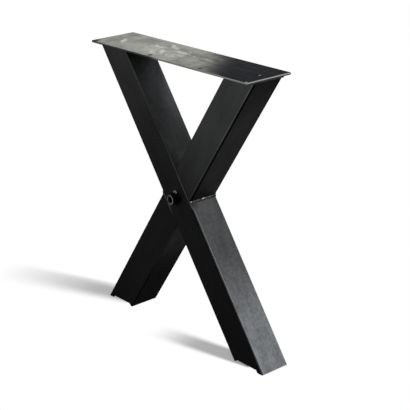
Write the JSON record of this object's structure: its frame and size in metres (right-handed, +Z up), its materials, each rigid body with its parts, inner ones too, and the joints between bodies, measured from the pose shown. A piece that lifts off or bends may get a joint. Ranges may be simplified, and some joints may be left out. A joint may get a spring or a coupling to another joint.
{
  "type": "x shaped table leg",
  "caption": "Welded steel end frame for a table: crossed square tubes under a flat top plate, with a nut for a tie rod at the crossing.",
  "frame": {"origin": "on the floor under the middle of the X", "axes": "+Z up, X along the top plate and in the plane of the X, -Y out of the face with the nut; the leg that runs through has its foot on the +X side"},
  "size_m": [0.592, 0.125, 0.69],
  "materials": {
    "blackened_steel": "dark satin mill scale",
    "plate_steel": "raw mill finish, smeared",
    "weld_steel": "welded, ground on the faces",
    "nut_steel": "dark, self-coloured"
  },
  "bodies": {
    "root": {"top_plate": "plate_steel", "leg_through": "blackened_steel", "leg_upper_half": "blackened_steel", "leg_lower_half": "blackened_steel", "foot_plate_right": "blackened_steel", "foot_plate_left": "blackened_steel", "tie_rod_nut": "nut_steel", "weld_head_left": "weld_steel", "weld_head_right": "weld_steel", "weld_cross_upper": "weld_steel", "weld_cross_lower": "weld_steel", "weld_nut_top": "weld_steel", "weld_nut_bottom": "weld_steel"}
  },
  "joints": []
}
